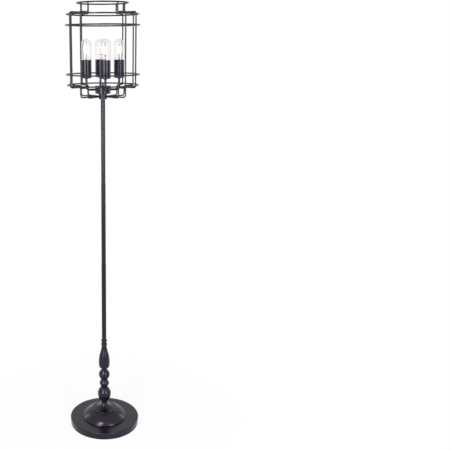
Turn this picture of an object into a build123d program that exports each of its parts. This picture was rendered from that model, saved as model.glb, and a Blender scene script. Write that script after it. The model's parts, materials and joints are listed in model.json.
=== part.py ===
"""Wire cage floor lamp: weighted round base, turned column, slender pole, four-socket cluster and wire cage.

Millimetres, +Z up. The origin is the middle of the base where it stands on the floor, and the front is -Y.
Every sub-part is written as one STEP file. Angles round the lamp are counted from the front (-Y) towards +X.
"""
import os

from build123d import *

# ---------------------------------------------------------------- base
PAD_THICKNESS = 2.0
PAD_INSET = 6.8                # the pad's edge inside the cover's edge
PAD_HOLE_RADIUS = 30.0
COVER_RADIUS = 130.8           # widest part of the base, at the cover's top edge
COVER_HEIGHT = 26.5            # floor to the cover's flat top
COVER_SKIRT_GAP = 1.0          # the skirt ends this far above the floor
COVER_SKIRT_DRAFT = 1.2        # the skirt leans in by this much at its bottom
COVER_EDGE_RADIUS = 2.6
SHEET = 1.2                    # pressed and spun steel sheet
WEIGHT_CLEARANCE = 0.5         # all round, inside the skirt
WEIGHT_RIM_WIDTH = 34.0
WEIGHT_WEB = 8.0
WEIGHT_CHAMFER = 4.0
DOME_RADIUS = 84.5
DOME_HEIGHT = 31.5
DOME_FOOT = 2.0                # the dome's short upright foot
DOME_FLAT_RADIUS = 46.0
DOME_SHOULDER = [(0.05, 0.2), (0.48, 0.8)]   # control points: shares of the way in and of the way up
BELL_RADIUS = 47.7
BELL_HEIGHT = 28.0
BELL_LIP = 3.6
BELL_WALL = 3.0
BELL_BOSS_WALL = 6.8           # thickness round the rod, under the flare
BELL_BOSS_HEIGHT = 11.2
BELL_WAIST = (0.58, 0.27)      # the flare's low and high points, as shares of the bell's radius and height
BELL_THROAT = (0.31, 0.56)

# ---------------------------------------------------------------- cord outlet in the skirt
OUTLET_HEIGHT = 8.6            # axis above the floor
OUTLET_BORE_RADIUS = 3.5
OUTLET_BARREL_RADIUS = 5.0
OUTLET_FLANGE_RADIUS = 6.4
OUTLET_FLANGE = 0.8
OUTLET_TAIL = 1.6              # barrel past the inside of the sheet
OUTLET_SLOT_WIDTH = 14.0       # slot through the weight's rim for the lead

# ---------------------------------------------------------------- column of turnings
NECK_RADIUS = 10.6
SLIM_NECK_RADIUS = 12.3        # necks above and below the middle ball
LOWER_BALL_RADIUS = 25.2
LOWER_BALL_HEIGHT = 63.0
MIDDLE_BALL_RADIUS = 18.0
MIDDLE_BALL_HEIGHT = 31.0
UPPER_BALL_RADIUS = 20.8
UPPER_BALL_HEIGHT = 43.0
VASE_RADIUS = 20.9
VASE_HEIGHT = 97.0
VASE_TOP_RADIUS = 9.4
FERRULE_HEIGHT = 26.5
LOWER_BEAD_RADIUS = 11.8
UPPER_BEAD_RADIUS = 11.4
BEAD_HALF_HEIGHT = 4.0
BEAD_SHOULDER = 1.6            # straight part of a bead's side faces
LOWER_BEAD_RISE = 6.0          # beads' middles above the ferrule's foot
UPPER_BEAD_RISE = 21.0
FERRULE_LEDGE = 0.4            # the ferrule's top stands out past the pole
NECK_STUB = 2.0                # straight part of each neck next to a joint between two turnings

# outlines of the turnings, as shares of their radius and height
LOWER_BALL_SWELL = [(0.63, 0.14), (0.89, 0.31)]
LOWER_BALL_WIDEST = 0.6
LOWER_BALL_CROWN = (0.87, 0.78)
MIDDLE_BALL_WIDEST = 0.5
UPPER_BALL_WIDEST = 0.477
BEAD_FLANK = (0.86, 0.265)     # from the widest place, down and up
VASE_FOOT = 0.07
VASE_SIDE = [(0.89, 0.1), (1.0, 0.31), (0.86, 0.59), (0.62, 0.79)]

# ---------------------------------------------------------------- threaded parts
ROD_RADIUS = 4.8               # 1/8 IP lamp thread
ROD_BORE_RADIUS = 3.2
THREAD_CLEARANCE = 0.1         # plain holes over threads
SAME_SIZE = 0.01               # radii that differ by less are the same
NUT_ACROSS_FLATS = 16.0
NUT_THICKNESS = 5.0
WASHER_RADIUS = 17.0
WASHER_THICKNESS = 2.0
ROD_TAIL = 0.6                 # thread past the nut

# ---------------------------------------------------------------- pole
POLE_SECTION_LENGTH = 296.8
POLE_LOWER_RADIUS = 8.4
POLE_MIDDLE_RADIUS = 8.0
POLE_UPPER_RADIUS = 7.6
POLE_WALL = 1.0
POLE_EDGE_RADIUS = 0.4
BUSHING_LENGTH = 12.0
NIPPLE_ENGAGEMENT = 10.0       # thread in each bushing

# ---------------------------------------------------------------- hub
COLLAR_RADIUS = 14.3
COLLAR_HEIGHT = 18.4
COLLAR_EDGE_RADIUS = 0.8
DRUM_RADIUS = 26.3
DRUM_HEIGHT = 24.9
DRUM_EDGE_RADIUS = 2.2
COVER_LIP_RADIUS = 27.9
COVER_LIP_HEIGHT = 6.8
COVER_LIP_EDGE_RADIUS = 0.8
STRAP_WIDTH = 10.0
STRAP_SPAN = 26.0
STRAP_THICKNESS = 1.6
STRAP_HEADROOM = 1.2           # strap's top under the drum's cover
STRAP_TURN = 45.0              # across the gaps between the arms
KNOB_RADIUS = 3.25
KNOB_HEIGHT = 10.0
KNOB_CROWN = 1.5
KNOB_SHANK_RADIUS = 2.0
KNOB_SHANK_TAIL = 1.0          # shank past the strap

# ---------------------------------------------------------------- arms and sockets
SOCKET_CIRCLE_RADIUS = 56.0
SOCKET_TURN = 7.7              # the cluster is turned this far from the front
SOCKET_SIDES = {"front": 0, "right": 90, "rear": 180, "left": 270}
ARM_RADIUS = 3.8
ARM_BORE_RADIUS = 2.2
ARM_HEIGHT = 13.7              # arm axis above the drum's underside
ARM_BEND_RADIUS = 10.0
ARM_THREAD_RADIUS = 3.0
ARM_THREAD_LENGTH = 7.0
CUT_OVERRUN = 1.0              # the arm's bore is cut this far past both its ends
ARM_NUT_ACROSS_FLATS = 10.0
ARM_NUT_THICKNESS = 3.0
CUP_RISE = 49.8                # cup's underside above the drum's underside
CUP_RADIUS = 17.5
CUP_HEIGHT = 61.5
CUP_WALL = 0.8
CUP_EDGE_RADIUS = 2.0
CUP_BOSS_RADIUS = 6.0          # pressed boss round the arm, in the cup's bottom
CUP_BOSS_DRAFT = 1.2
CUP_BOSS_HEIGHT = 1.4
CUP_BOTTOM_RISE = 1.0          # from the boss out to the edge
HOLDER_CLEARANCE = 0.3
HOLDER_RECESS = 6.0            # lampholder's top below the cup's rim
HOLDER_CAVITY_RADIUS = 7.0
HOLDER_FLOOR_THICKNESS = 2.0
ARM_IN_HOLDER = 8.0
SHELL_WALL = 0.4
SHELL_SETBACK = 1.0            # screw shell's rim below the lampholder's top
CONTACT_RADIUS = 4.5
CONTACT_THICKNESS = 2.2

# ---------------------------------------------------------------- bulbs, medium screw cap and clear glass
CAP_CREST_RADIUS = 13.1
CAP_ROOT_RADIUS = 12.3
CAP_HEIGHT = 26.0
CAP_WALL = 0.4
CAP_THREAD_PITCH = 3.63
CAP_THREAD_TURNS = 5
CAP_PLAIN_RIM = 1.2            # smooth band above the thread
CAP_CONTACT_RADIUS = 4.8
CAP_CONTACT_HEIGHT = 1.4
CAP_FLOOR = 2.0                # insulator's top above the thread's start
SHELL_CLEARANCE = 0.35         # between the cap's thread crests and the screw shell
CONTACT_CLEARANCE = 0.3
GLASS_RADIUS = 18.5
GLASS_WALL = 0.9
GLASS_CUP_GAP = 0.5            # between the glass and the cup, at the cup's rim
GLASS_NECK_RADIUS = 11.6
GLASS_NECK_DEPTH = 9.0         # neck inside the cap
GLASS_EXPOSED = 74.2           # cap's rim to the glass's tip
GLASS_SHOULDER = 17.5          # cap's rim to full width
STEM_RADIUS = 3.2
STEM_HEIGHT = 21.0             # cap's rim to the stem's pinched top
STEM_PINCH = 4.5
FILAMENT_RADIUS = 1.1
FILAMENT_LENGTH = 30.0
FILAMENT_TAB_RADIUS = 0.7
FILAMENT_TAB_LENGTH = 2.5
FILAMENT_CIRCLE_RADIUS = 7.5
FILAMENT_COUNT = 4
SUPPORT_RADIUS = 0.35
SUPPORT_RISE = 2.5             # between the stem and the filaments, and above them
HOOK_RADIUS = 2.4              # loop on the support's upper end
HOOK_RISE = 5.0                # upper spokes to the loop

# ---------------------------------------------------------------- cage
WIRE_RADIUS = 2.4
TALL_WIRE_RADIUS = 128.3       # axis of the upright wires from the lamp's axis
NARROW_RING_RADIUS = 120.0
TOP_RING_RADIUS = 85.2
LOW_WIRE_RADIUS = 89.8
WIRE_PAIR_HALF_ANGLE = 11.05
WIRE_BEND_RADIUS = 6.0
LOW_BEND_RADIUS = 9.0
WELD_GAP = 0.05                # between wires that cross, where the weld is
COLLAR_TO_WIRE = 8.6           # collar's underside to the axis of the lowest wires
LOW_STEP_HEIGHT = 33.7         # lowest wires up to the wires that carry the lower narrow ring
TALL_STEP_HEIGHT = 238.9       # those wires up to the shoulder wires
TOP_STEP_HEIGHT = 30.9         # shoulder wires up to the top ring's axis
LOWER_WIDE_RING_DROP = 160.0   # between the two wide rings
UPPER_WIDE_RING_DROP = 39.0    # shoulder wires down to the upper wide ring
WIRE_PAIRS = {"front_right": 45, "rear_right": 135, "rear_left": 225, "front_left": 315}

# ---------------------------------------------------------------- internal wiring
TRUNK_RADIUS = 2.2
TRUNK_PAD_GAP = 0.3
TRUNK_SETBACK = 12.0           # the trunk starts this far inside the skirt
TRUNK_DROP = (0.5, 0.25)       # where it comes down to the pad, as shares of the way out from the rod
TRUNK_END_GAP = 0.5            # between the trunk's end and the branches that leave it
TRUNK_BEND_RADIUS = 6.0
TRUNK_SWEEP_RADIUS = 30.0
BRANCH_RADIUS = 1.2
BRANCH_START = 3.2             # from the lamp's axis
BRANCH_TAIL = 3.0              # branch past the arm's end

# ---------------------------------------------------------------- heights that follow
DOME_TOP = COVER_HEIGHT + DOME_HEIGHT
LOWER_BALL_BASE = DOME_TOP + BELL_HEIGHT
MIDDLE_BALL_BASE = LOWER_BALL_BASE + LOWER_BALL_HEIGHT
UPPER_BALL_BASE = MIDDLE_BALL_BASE + MIDDLE_BALL_HEIGHT
VASE_BASE = UPPER_BALL_BASE + UPPER_BALL_HEIGHT
FERRULE_BASE = VASE_BASE + VASE_HEIGHT
POLE_BASE = FERRULE_BASE + FERRULE_HEIGHT
POLE_TOP = POLE_BASE + 3 * POLE_SECTION_LENGTH
DRUM_BASE = POLE_TOP + COLLAR_HEIGHT
DRUM_TOP = DRUM_BASE + DRUM_HEIGHT
ARM_AXIS = DRUM_BASE + ARM_HEIGHT
CUP_BASE = DRUM_BASE + CUP_RISE
CUP_RIM = CUP_BASE + CUP_HEIGHT
LOW_WIRE_AXIS = POLE_TOP + COLLAR_TO_WIRE
STEP_WIRE_AXIS = LOW_WIRE_AXIS + LOW_STEP_HEIGHT
SHOULDER_WIRE_AXIS = STEP_WIRE_AXIS + TALL_STEP_HEIGHT
TOP_RING_AXIS = SHOULDER_WIRE_AXIS + TOP_STEP_HEIGHT
WIDE_RING_RADIUS = TALL_WIRE_RADIUS - 2 * WIRE_RADIUS - WELD_GAP
HUB_NUT_BASE = DRUM_BASE + SHEET + STRAP_THICKNESS
HUB_NIPPLE_TOP = HUB_NUT_BASE + NUT_THICKNESS + ROD_TAIL
WEB_BOTTOM = COVER_HEIGHT - SHEET - WEIGHT_WEB
ROD_BOTTOM = WEB_BOTTOM - WASHER_THICKNESS - NUT_THICKNESS - ROD_TAIL
ROD_HOLE_RADIUS = ROD_RADIUS + THREAD_CLEARANCE
SKIRT_BOTTOM_RADIUS = COVER_RADIUS - COVER_SKIRT_DRAFT
PAD_RADIUS = COVER_RADIUS - PAD_INSET

# the screw joint between a bulb and its lampholder, from the lampholder's top down
SHELL_INNER_RADIUS = CAP_CREST_RADIUS + SHELL_CLEARANCE
SHELL_OUTER_RADIUS = SHELL_INNER_RADIUS + SHELL_WALL
HOLDER_RADIUS = CUP_RADIUS - CUP_WALL - HOLDER_CLEARANCE
HOLDER_BASE = CUP_BASE + CUP_WALL + HOLDER_CLEARANCE
HOLDER_TOP = CUP_RIM - HOLDER_RECESS
CAP_RIM = HOLDER_TOP
CAP_BASE = CAP_RIM - CAP_HEIGHT
HOLDER_FLOOR = CAP_BASE - CONTACT_CLEARANCE - CONTACT_THICKNESS
ARM_TOP = HOLDER_BASE + ARM_IN_HOLDER


def turned(*edges):
    """Solid turned about Z from a closed outline, drawn as (radius, height)."""
    return revolve(Plane.XZ * make_face(Wire(edges)), axis=Axis.Z)


def turned_points(points):
    """Solid turned about Z from a closed outline of straight edges."""
    return turned(*Polyline(*points, close=True).edges())


def tube(outer_radius, inner_radius, bottom, top):
    return turned_points([
        (inner_radius, bottom), (outer_radius, bottom), (outer_radius, top), (inner_radius, top)])


def rod(radius, bottom, top):
    return Pos(0, 0, bottom) * Cylinder(radius, top - bottom, align=(Align.CENTER, Align.CENTER, Align.MIN))


def along(path, radius):
    """Round bar of one radius along a path."""
    return sweep(Plane(origin=path @ 0, z_dir=path % 0) * Circle(radius), path=path)


def towards(angle):
    """Turns what is drawn on +X to the given angle from the front."""
    return Rot(0, 0, angle - 90)


def hex_nut(across_flats, thickness, hole_radius):
    blank = RegularPolygon(across_flats / 2, 6, major_radius=False)
    return extrude(blank - Circle(hole_radius), thickness)


def outer_rims(part, radius):
    """The round edges of the given radius."""
    circles = part.edges().filter_by(GeomType.CIRCLE)
    return circles.filter_by(lambda edge: abs(edge.radius - radius) < SAME_SIZE)


# ---------------------------------------------------------------- base
def base_pad():
    return tube(PAD_RADIUS, PAD_HOLE_RADIUS, 0, PAD_THICKNESS)


def outlet_hole():
    """Round hole along Y through the back of the skirt."""
    barrel = Cylinder(OUTLET_BARREL_RADIUS + THREAD_CLEARANCE, 4 * OUTLET_BARREL_RADIUS)
    return Pos(0, COVER_RADIUS, OUTLET_HEIGHT) * Rot(90, 0, 0) * barrel


def base_cover():
    """Pressed pan: flat top, rounded edge and a skirt that leans in a little."""
    top = COVER_HEIGHT
    under = COVER_HEIGHT - SHEET
    inner_radius = COVER_RADIUS - SHEET
    inner_edge = COVER_EDGE_RADIUS - SHEET
    edge_start = top - COVER_EDGE_RADIUS
    pan = turned(
        Line((SKIRT_BOTTOM_RADIUS, COVER_SKIRT_GAP), (COVER_RADIUS, edge_start)),
        RadiusArc((COVER_RADIUS, edge_start), (COVER_RADIUS - COVER_EDGE_RADIUS, top), -COVER_EDGE_RADIUS),
        Line((COVER_RADIUS - COVER_EDGE_RADIUS, top), (ROD_HOLE_RADIUS, top)),
        Line((ROD_HOLE_RADIUS, top), (ROD_HOLE_RADIUS, under)),
        Line((ROD_HOLE_RADIUS, under), (inner_radius - inner_edge, under)),
        RadiusArc((inner_radius - inner_edge, under), (inner_radius, edge_start), inner_edge),
        Line((inner_radius, edge_start), (SKIRT_BOTTOM_RADIUS - SHEET, COVER_SKIRT_GAP)),
        Line((SKIRT_BOTTOM_RADIUS - SHEET, COVER_SKIRT_GAP), (SKIRT_BOTTOM_RADIUS, COVER_SKIRT_GAP)),
    )
    return pan - outlet_hole()


def base_weight():
    """Cast ring with a thinner web, and a slot through its rim for the lead."""
    outer_radius = SKIRT_BOTTOM_RADIUS - SHEET - WEIGHT_CLEARANCE
    top = COVER_HEIGHT - SHEET
    rim_inside = outer_radius - WEIGHT_RIM_WIDTH
    casting = turned_points([
        (ROD_HOLE_RADIUS, WEB_BOTTOM),
        (rim_inside, WEB_BOTTOM),
        (rim_inside, PAD_THICKNESS),
        (outer_radius, PAD_THICKNESS),
        (outer_radius, top - WEIGHT_CHAMFER),
        (outer_radius - WEIGHT_CHAMFER, top),
        (ROD_HOLE_RADIUS, top),
    ])
    slot_height = OUTLET_HEIGHT + OUTLET_FLANGE_RADIUS - PAD_THICKNESS
    slot = Box(OUTLET_SLOT_WIDTH, 2 * WEIGHT_RIM_WIDTH + WEIGHT_CHAMFER, slot_height,
               align=(Align.CENTER, Align.CENTER, Align.MIN))
    return casting - Pos(0, outer_radius, PAD_THICKNESS) * slot


def dome_shoulder(radius, top):
    """One soft curve from the upright foot to the flat."""
    low = COVER_HEIGHT + DOME_FOOT
    controls = [(radius - inward * (radius - DOME_FLAT_RADIUS), low + upward * (top - low))
                for inward, upward in DOME_SHOULDER]
    return Bezier((radius, low), *controls, (DOME_FLAT_RADIUS, top))


def base_dome():
    """Spun shell with a short upright foot and a flat top."""
    inner_radius = DOME_RADIUS - SHEET
    under = DOME_TOP - SHEET
    foot_top = COVER_HEIGHT + DOME_FOOT
    return turned(
        Line((DOME_RADIUS, COVER_HEIGHT), (DOME_RADIUS, foot_top)),
        dome_shoulder(DOME_RADIUS, DOME_TOP),
        Line((DOME_FLAT_RADIUS, DOME_TOP), (ROD_HOLE_RADIUS, DOME_TOP)),
        Line((ROD_HOLE_RADIUS, DOME_TOP), (ROD_HOLE_RADIUS, under)),
        Line((ROD_HOLE_RADIUS, under), (DOME_FLAT_RADIUS, under)),
        dome_shoulder(inner_radius, under),
        Line((inner_radius, foot_top), (inner_radius, COVER_HEIGHT)),
        Line((inner_radius, COVER_HEIGHT), (DOME_RADIUS, COVER_HEIGHT)),
    )


def base_bell():
    """Flared flange, hollow below, with a boss round the rod."""
    top = DOME_TOP + BELL_HEIGHT
    lip_radius = BELL_LIP / 2
    lip_inner = BELL_RADIUS - lip_radius
    foot_inner = BELL_RADIUS - BELL_WALL
    boss = ROD_HOLE_RADIUS + BELL_BOSS_WALL
    boss_top = DOME_TOP + BELL_BOSS_HEIGHT
    waist_radius = BELL_WAIST[0] * BELL_RADIUS
    waist_height = DOME_TOP + BELL_WAIST[1] * BELL_HEIGHT
    flare = Spline(
        (lip_inner, DOME_TOP + BELL_LIP),
        (waist_radius, waist_height),
        (BELL_THROAT[0] * BELL_RADIUS, DOME_TOP + BELL_THROAT[1] * BELL_HEIGHT),
        (NECK_RADIUS, top),
        tangents=[(-1, 0.15), (0, 1)],
    )
    return turned(
        Line((BELL_RADIUS, DOME_TOP), (BELL_RADIUS, DOME_TOP + lip_radius)),
        Line((BELL_RADIUS, DOME_TOP + lip_radius), (lip_inner, DOME_TOP + BELL_LIP)),
        flare,
        Line((NECK_RADIUS, top), (ROD_HOLE_RADIUS, top)),
        Line((ROD_HOLE_RADIUS, top), (ROD_HOLE_RADIUS, DOME_TOP)),
        Line((ROD_HOLE_RADIUS, DOME_TOP), (boss, DOME_TOP)),
        Line((boss, DOME_TOP), (boss, boss_top)),
        Spline((boss, boss_top), (waist_radius, waist_height - BELL_WALL), (foot_inner, DOME_TOP)),
        Line((foot_inner, DOME_TOP), (BELL_RADIUS, DOME_TOP)),
    )


def base_fasteners():
    """Washer and nut that clamp the weight, cover, dome and bell on the threaded rod."""
    nut_top = WEB_BOTTOM - WASHER_THICKNESS
    washer = tube(WASHER_RADIUS, ROD_HOLE_RADIUS, nut_top, WEB_BOTTOM)
    nut = Pos(0, 0, nut_top - NUT_THICKNESS) * hex_nut(NUT_ACROSS_FLATS, NUT_THICKNESS, ROD_HOLE_RADIUS)
    return [washer, nut]


def cord_outlet_bushing():
    """Plastic bushing in the skirt's hole: a flange outside the sheet and a barrel through it."""
    lean = COVER_SKIRT_DRAFT * (COVER_HEIGHT - OUTLET_HEIGHT) / COVER_HEIGHT
    outside = COVER_RADIUS - lean + OUTLET_FLANGE
    depth = OUTLET_FLANGE + SHEET + OUTLET_TAIL
    upright = (Align.CENTER, Align.CENTER, Align.MIN)
    bushing = Cylinder(OUTLET_FLANGE_RADIUS, OUTLET_FLANGE, align=upright)
    bushing += Cylinder(OUTLET_BARREL_RADIUS, depth, align=upright)
    bushing -= Cylinder(OUTLET_BORE_RADIUS, 2 * depth)
    return Pos(0, outside, OUTLET_HEIGHT) * Rot(90, 0, 0) * bushing - skirt_band()


def skirt_band():
    """The skirt's sheet round the outlet's hole, which the flange is shaped to."""
    top = COVER_HEIGHT - COVER_EDGE_RADIUS
    band = turned_points([
        (SKIRT_BOTTOM_RADIUS - SHEET, COVER_SKIRT_GAP),
        (SKIRT_BOTTOM_RADIUS, COVER_SKIRT_GAP),
        (COVER_RADIUS, top),
        (COVER_RADIUS - SHEET, top),
    ])
    return band - outlet_hole()


# ---------------------------------------------------------------- column
def column_rod():
    return tube(ROD_RADIUS, ROD_BORE_RADIUS, ROD_BOTTOM, POLE_BASE + NIPPLE_ENGAGEMENT)


def bead(base, height, radius, widest, bottom_neck, top_neck):
    """Turned ball between two necks, bored for the threaded rod."""
    top = base + height
    centre = base + widest * height
    flank_radius = BEAD_FLANK[0] * radius
    flank_rise = BEAD_FLANK[1] * height
    side = Spline(
        (bottom_neck, base + NECK_STUB),
        (flank_radius, centre - flank_rise),
        (radius, centre),
        (flank_radius, centre + flank_rise),
        (top_neck, top - NECK_STUB),
    )
    return turned(
        Line((bottom_neck, base), (bottom_neck, base + NECK_STUB)),
        side,
        Line((top_neck, top - NECK_STUB), (top_neck, top)),
        *bore_edges(top_neck, top, bottom_neck, base),
    )


def bore_edges(top_radius, top, bottom_radius, bottom):
    """Edges from the top of a turning's outline in to the rod's hole, down it and out to the bottom."""
    return Polyline(
        (top_radius, top), (ROD_HOLE_RADIUS, top), (ROD_HOLE_RADIUS, bottom), (bottom_radius, bottom)).edges()


def lower_ball():
    """The largest ball, round above and drawn out to a slim neck below."""
    base = LOWER_BALL_BASE
    top = base + LOWER_BALL_HEIGHT
    widest = base + LOWER_BALL_WIDEST * LOWER_BALL_HEIGHT
    swell = [(across * LOWER_BALL_RADIUS, base + up * LOWER_BALL_HEIGHT) for across, up in LOWER_BALL_SWELL]
    crown = (LOWER_BALL_CROWN[0] * LOWER_BALL_RADIUS, base + LOWER_BALL_CROWN[1] * LOWER_BALL_HEIGHT)
    below = Spline(
        (NECK_RADIUS, base + NECK_STUB), *swell, (LOWER_BALL_RADIUS, widest),
        tangents=[(0.1, 1), (0, 1)],
    )
    above = Spline(
        (LOWER_BALL_RADIUS, widest), crown, (SLIM_NECK_RADIUS, top - NECK_STUB),
        tangents=[(0, 1), (-1, 0.55)],
    )
    return turned(
        Line((NECK_RADIUS, base), (NECK_RADIUS, base + NECK_STUB)),
        below,
        above,
        Line((SLIM_NECK_RADIUS, top - NECK_STUB), (SLIM_NECK_RADIUS, top)),
        *bore_edges(SLIM_NECK_RADIUS, top, NECK_RADIUS, base),
    )


def middle_ball():
    return bead(MIDDLE_BALL_BASE, MIDDLE_BALL_HEIGHT, MIDDLE_BALL_RADIUS, MIDDLE_BALL_WIDEST,
                SLIM_NECK_RADIUS, SLIM_NECK_RADIUS)


def upper_ball():
    return bead(UPPER_BALL_BASE, UPPER_BALL_HEIGHT, UPPER_BALL_RADIUS, UPPER_BALL_WIDEST,
                SLIM_NECK_RADIUS, NECK_RADIUS)


def column_vase():
    """Long drop with a flat underside, widest a third of the way up."""
    base = VASE_BASE
    top = base + VASE_HEIGHT
    foot_top = base + VASE_FOOT * VASE_HEIGHT
    points = [(across * VASE_RADIUS, base + up * VASE_HEIGHT) for across, up in VASE_SIDE]
    return turned(
        Line((NECK_RADIUS, base), (NECK_RADIUS, foot_top)),
        Line((NECK_RADIUS, foot_top), points[0]),
        Spline(*points, (VASE_TOP_RADIUS, top), tangents=[(0.35, 1), (-0.1, 1)]),
        *bore_edges(VASE_TOP_RADIUS, top, NECK_RADIUS, base),
    )


def beaded_ferrule():
    """Collar with two beads that the pole stands on."""
    top = FERRULE_BASE + FERRULE_HEIGHT
    body = turned_points([
        (ROD_HOLE_RADIUS, FERRULE_BASE),
        (VASE_TOP_RADIUS, FERRULE_BASE),
        (POLE_LOWER_RADIUS + FERRULE_LEDGE, top),
        (ROD_HOLE_RADIUS, top),
    ])
    lower = Pos(0, 0, FERRULE_BASE + LOWER_BEAD_RISE) * bead_ring(LOWER_BEAD_RADIUS)
    upper = Pos(0, 0, FERRULE_BASE + UPPER_BEAD_RISE) * bead_ring(UPPER_BEAD_RADIUS)
    return body + lower + upper


def bead_ring(radius):
    """Half-round bead whose flat inner side sinks in the ferrule's body."""
    inner = (ROD_RADIUS + POLE_LOWER_RADIUS) / 2
    shoulder = inner + BEAD_SHOULDER
    high = BEAD_HALF_HEIGHT
    return turned(
        ThreePointArc((shoulder, -high), (radius, 0), (shoulder, high)),
        *Polyline((shoulder, high), (inner, high), (inner, -high), (shoulder, -high)).edges(),
    )


# ---------------------------------------------------------------- pole
POLE_SECTIONS = {
    "pole_lower": (POLE_LOWER_RADIUS, POLE_BASE),
    "pole_middle": (POLE_MIDDLE_RADIUS, POLE_BASE + POLE_SECTION_LENGTH),
    "pole_upper": (POLE_UPPER_RADIUS, POLE_BASE + 2 * POLE_SECTION_LENGTH),
}


def pole_section(radius, base):
    section = tube(radius, radius - POLE_WALL, base, base + POLE_SECTION_LENGTH)
    return fillet(outer_rims(section, radius), POLE_EDGE_RADIUS)


def pole_bushings():
    """Threaded bushing brazed into each end of each section."""
    bushings = []
    for radius, base in POLE_SECTIONS.values():
        for bottom in (base, base + POLE_SECTION_LENGTH - BUSHING_LENGTH):
            bushings.append(tube(radius - POLE_WALL, ROD_HOLE_RADIUS, bottom, bottom + BUSHING_LENGTH))
    return bushings


def threaded_nipples():
    """Hollow nipples: two join the pole's sections, and a longer one carries the collar, drum and strap."""
    joints = [base for _, base in list(POLE_SECTIONS.values())[1:]]
    nipples = [tube(ROD_RADIUS, ROD_BORE_RADIUS, joint - NIPPLE_ENGAGEMENT, joint + NIPPLE_ENGAGEMENT)
               for joint in joints]
    nipples.append(tube(ROD_RADIUS, ROD_BORE_RADIUS, POLE_TOP - NIPPLE_ENGAGEMENT, HUB_NIPPLE_TOP))
    return nipples


# ---------------------------------------------------------------- hub
def hub_collar():
    collar = tube(COLLAR_RADIUS, ROD_HOLE_RADIUS, POLE_TOP, DRUM_BASE)
    return fillet(outer_rims(collar, COLLAR_RADIUS), COLLAR_EDGE_RADIUS)


def cluster_drum():
    """Open cup that holds the arms' inner ends; its cover closes it."""
    body = rod(DRUM_RADIUS, DRUM_BASE, DRUM_TOP)
    body = fillet(body.edges().group_by(Axis.Z)[0], DRUM_EDGE_RADIUS)
    body -= rod(DRUM_RADIUS - SHEET, DRUM_BASE + SHEET, DRUM_TOP)
    body -= rod(ROD_HOLE_RADIUS, DRUM_BASE, DRUM_TOP)
    hole = Pos(DRUM_RADIUS, 0, ARM_AXIS) * Rot(0, 90, 0) * Cylinder(
        ARM_THREAD_RADIUS + THREAD_CLEARANCE, DRUM_RADIUS)
    for side in SOCKET_SIDES.values():
        body -= towards(SOCKET_TURN + side) * hole
    return body


def drum_cover():
    lid = rod(COVER_LIP_RADIUS, DRUM_TOP + SHEET - COVER_LIP_HEIGHT, DRUM_TOP + SHEET)
    lid = fillet(lid.edges().group_by(Axis.Z)[-1], COVER_LIP_EDGE_RADIUS)
    lid -= rod(DRUM_RADIUS + THREAD_CLEARANCE, DRUM_TOP - COVER_LIP_HEIGHT, DRUM_TOP)
    return lid - rod(KNOB_SHANK_RADIUS + THREAD_CLEARANCE, DRUM_TOP, DRUM_TOP + 2 * SHEET)


def cover_strap():
    """Steel loop on the hub nipple; the knob screws into its top and holds the drum's cover."""
    bottom = DRUM_BASE + SHEET
    top = DRUM_TOP - STRAP_HEADROOM
    outside = Box(STRAP_SPAN, STRAP_WIDTH, top - bottom)
    inside = Box(STRAP_SPAN - 2 * STRAP_THICKNESS, 2 * STRAP_WIDTH, top - bottom - 2 * STRAP_THICKNESS)
    loop = Pos(0, 0, (bottom + top) / 2) * (outside - inside)
    loop -= rod(ROD_HOLE_RADIUS, bottom, bottom + STRAP_THICKNESS)
    loop -= rod(KNOB_SHANK_RADIUS + THREAD_CLEARANCE, top - STRAP_THICKNESS, top)
    return towards(SOCKET_TURN + STRAP_TURN) * loop


def cover_knob():
    shank_bottom = DRUM_TOP - STRAP_HEADROOM - STRAP_THICKNESS - KNOB_SHANK_TAIL
    head_bottom = DRUM_TOP + SHEET
    head = rod(KNOB_RADIUS, head_bottom, head_bottom + KNOB_HEIGHT)
    head = fillet(head.edges().group_by(Axis.Z)[-1], KNOB_CROWN)
    return head + rod(KNOB_SHANK_RADIUS, shank_bottom, head_bottom)


def hub_nuts():
    """Lock nut on the hub nipple and one on each arm's thread, inside the drum."""
    nuts = [Pos(0, 0, HUB_NUT_BASE) * hex_nut(NUT_ACROSS_FLATS, NUT_THICKNESS, ROD_HOLE_RADIUS)]
    corner_radius = ARM_NUT_ACROSS_FLATS / 3 ** 0.5
    wall = DRUM_RADIUS - SHEET
    outer_face = (wall ** 2 - corner_radius ** 2) ** 0.5 - THREAD_CLEARANCE
    nut = hex_nut(ARM_NUT_ACROSS_FLATS, ARM_NUT_THICKNESS, ARM_THREAD_RADIUS + THREAD_CLEARANCE)
    nut = Pos(outer_face - ARM_NUT_THICKNESS, 0, ARM_AXIS) * Rot(0, 90, 0) * nut
    return nuts + [towards(SOCKET_TURN + side) * nut for side in SOCKET_SIDES.values()]


# ---------------------------------------------------------------- arms and sockets, drawn on +X
def arm_path(start, top):
    return FilletPolyline(
        (start, 0, ARM_AXIS), (SOCKET_CIRCLE_RADIUS, 0, ARM_AXIS), (SOCKET_CIRCLE_RADIUS, 0, top),
        radius=ARM_BEND_RADIUS,
    )


def arm():
    """Bent tube with a thinner threaded end through the drum's wall and its other end in the lampholder."""
    thread_start = DRUM_RADIUS - ARM_THREAD_LENGTH
    body = along(arm_path(DRUM_RADIUS - 2 * SHEET, ARM_TOP), ARM_RADIUS)
    body -= rod(DRUM_RADIUS, DRUM_BASE, DRUM_TOP + KNOB_HEIGHT)
    thread = Pos(thread_start, 0, ARM_AXIS) * Rot(0, 90, 0) * Cylinder(
        ARM_THREAD_RADIUS, DRUM_RADIUS - thread_start + SHEET, align=(Align.CENTER, Align.CENTER, Align.MIN))
    bore = along(arm_path(thread_start - CUT_OVERRUN, ARM_TOP + CUT_OVERRUN), ARM_BORE_RADIUS)
    return body + thread - bore


def at_socket(part):
    """Moves what is turned about Z out to the circle of sockets, on +X."""
    return Pos(SOCKET_CIRCLE_RADIUS, 0, 0) * part


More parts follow.
